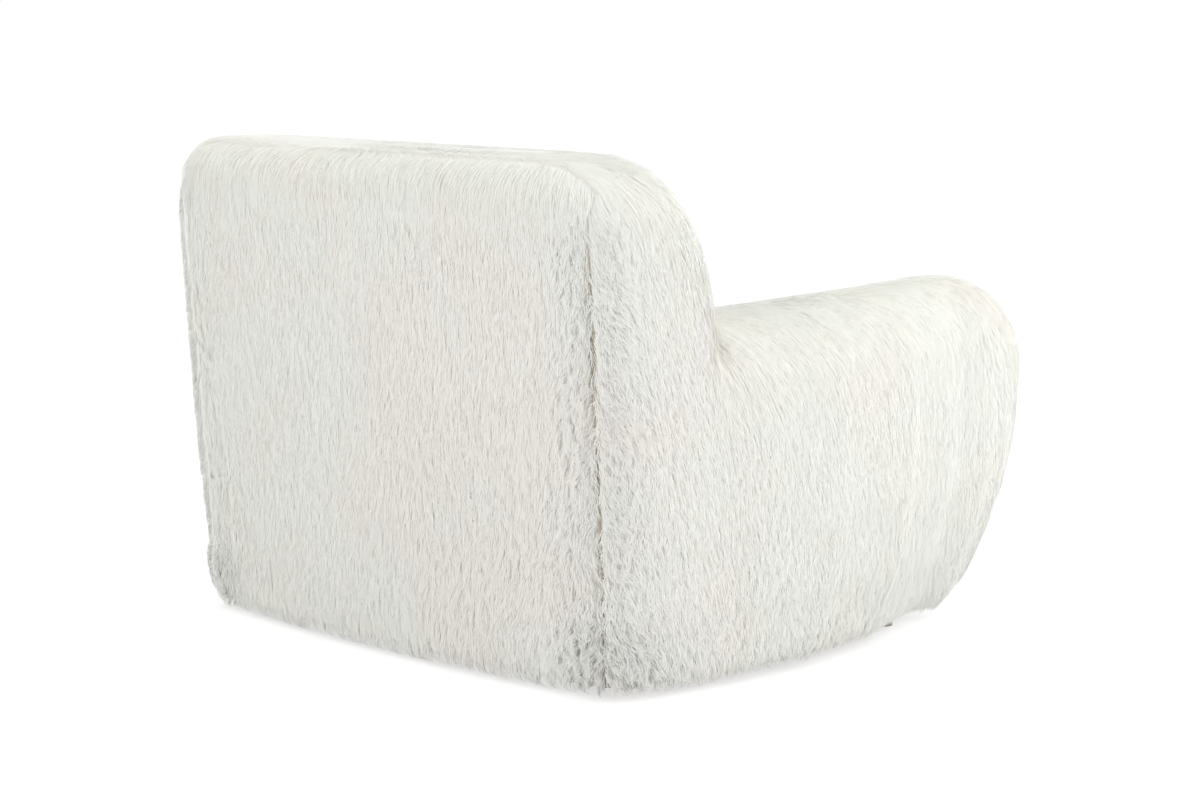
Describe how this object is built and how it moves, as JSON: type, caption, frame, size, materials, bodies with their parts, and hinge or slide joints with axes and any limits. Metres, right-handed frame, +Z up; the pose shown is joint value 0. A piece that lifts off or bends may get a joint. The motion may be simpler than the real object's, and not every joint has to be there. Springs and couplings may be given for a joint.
{
  "type": "upholstered lounge armchair",
  "caption": "Low, wide lounge armchair in long ivory fur with rolled arms, a rounded back and a loose box seat cushion.",
  "frame": {"origin": "on the floor, under the middle of the chair's bounding box", "axes": "+Z up, the sitter faces -Y, +X is on the sitter's left"},
  "size_m": [1.1182, 1.0304, 0.77],
  "materials": {
    "ivory_fur": "long pile",
    "foam": "open-cell foam",
    "hardwood": "sawn",
    "spring_steel": "drawn wire",
    "webbing": "woven",
    "deck_cloth": "plain weave",
    "dust_cloth": "non-woven",
    "glide_plastic": "matte",
    "zip_tape": "woven",
    "zinc": "satin"
  },
  "bodies": {
    "chair": {"outside_back_cover": "ivory_fur", "inside_back_cover": "ivory_fur", "left_outside_arm_cover": "ivory_fur", "right_outside_arm_cover": "ivory_fur", "left_inside_arm_cover": "ivory_fur", "right_inside_arm_cover": "ivory_fur", "front_border_cover": "ivory_fur", "deck_cloth": "deck_cloth", "front_rail": "hardwood", "rear_rail": "hardwood", "spring_rail": "hardwood", "left_side_rail": "hardwood", "right_side_rail": "hardwood", "left_arm_front_board": "hardwood", "right_arm_front_board": "hardwood", "left_rear_post": "hardwood", "right_rear_post": "hardwood", "left_arm_rail": "hardwood", "right_arm_rail": "hardwood", "left_arm_slat": "hardwood", "right_arm_slat": "hardwood", "lower_back_rail": "hardwood", "top_back_rail": "hardwood", "left_back_webbing": "webbing", "middle_back_webbing": "webbing", "right_back_webbing": "webbing", "left_front_glide": "glide_plastic", "right_front_glide": "glide_plastic", "left_rear_glide": "glide_plastic", "right_rear_glide": "glide_plastic", "dust_cover": "dust_cloth", "spring_1": "spring_steel", "front_clip_1": "spring_steel", "rear_clip_1": "spring_steel", "spring_2": "spring_steel", "front_clip_2": "spring_steel", "rear_clip_2": "spring_steel", "spring_3": "spring_steel", "front_clip_3": "spring_steel", "rear_clip_3": "spring_steel", "spring_4": "spring_steel", "front_clip_4": "spring_steel", "rear_clip_4": "spring_steel", "spring_5": "spring_steel", "front_clip_5": "spring_steel", "rear_clip_5": "spring_steel", "deck_pad": "foam", "front_border_foam": "foam", "back_foam": "foam", "left_arm_foam": "foam", "right_arm_foam": "foam"},
    "seat_cushion": {"cushion_core": "foam", "cushion_top_panel": "ivory_fur", "cushion_border": "ivory_fur", "cushion_bottom_panel": "ivory_fur", "cushion_zip_tape": "zip_tape"},
    "zip_slider": {"cushion_zip_slider": "zinc"}
  },
  "joints": [
    {"name": "cushion_lift", "type": "slide", "parent": "chair", "child": "seat_cushion", "axis": [0, 0, 1], "range_m": [0, 0.3]},
    {"name": "zip_slide", "type": "slide", "parent": "seat_cushion", "child": "zip_slider", "axis": [1, 0, 0], "range_m": [0, 0.415]}
  ]
}
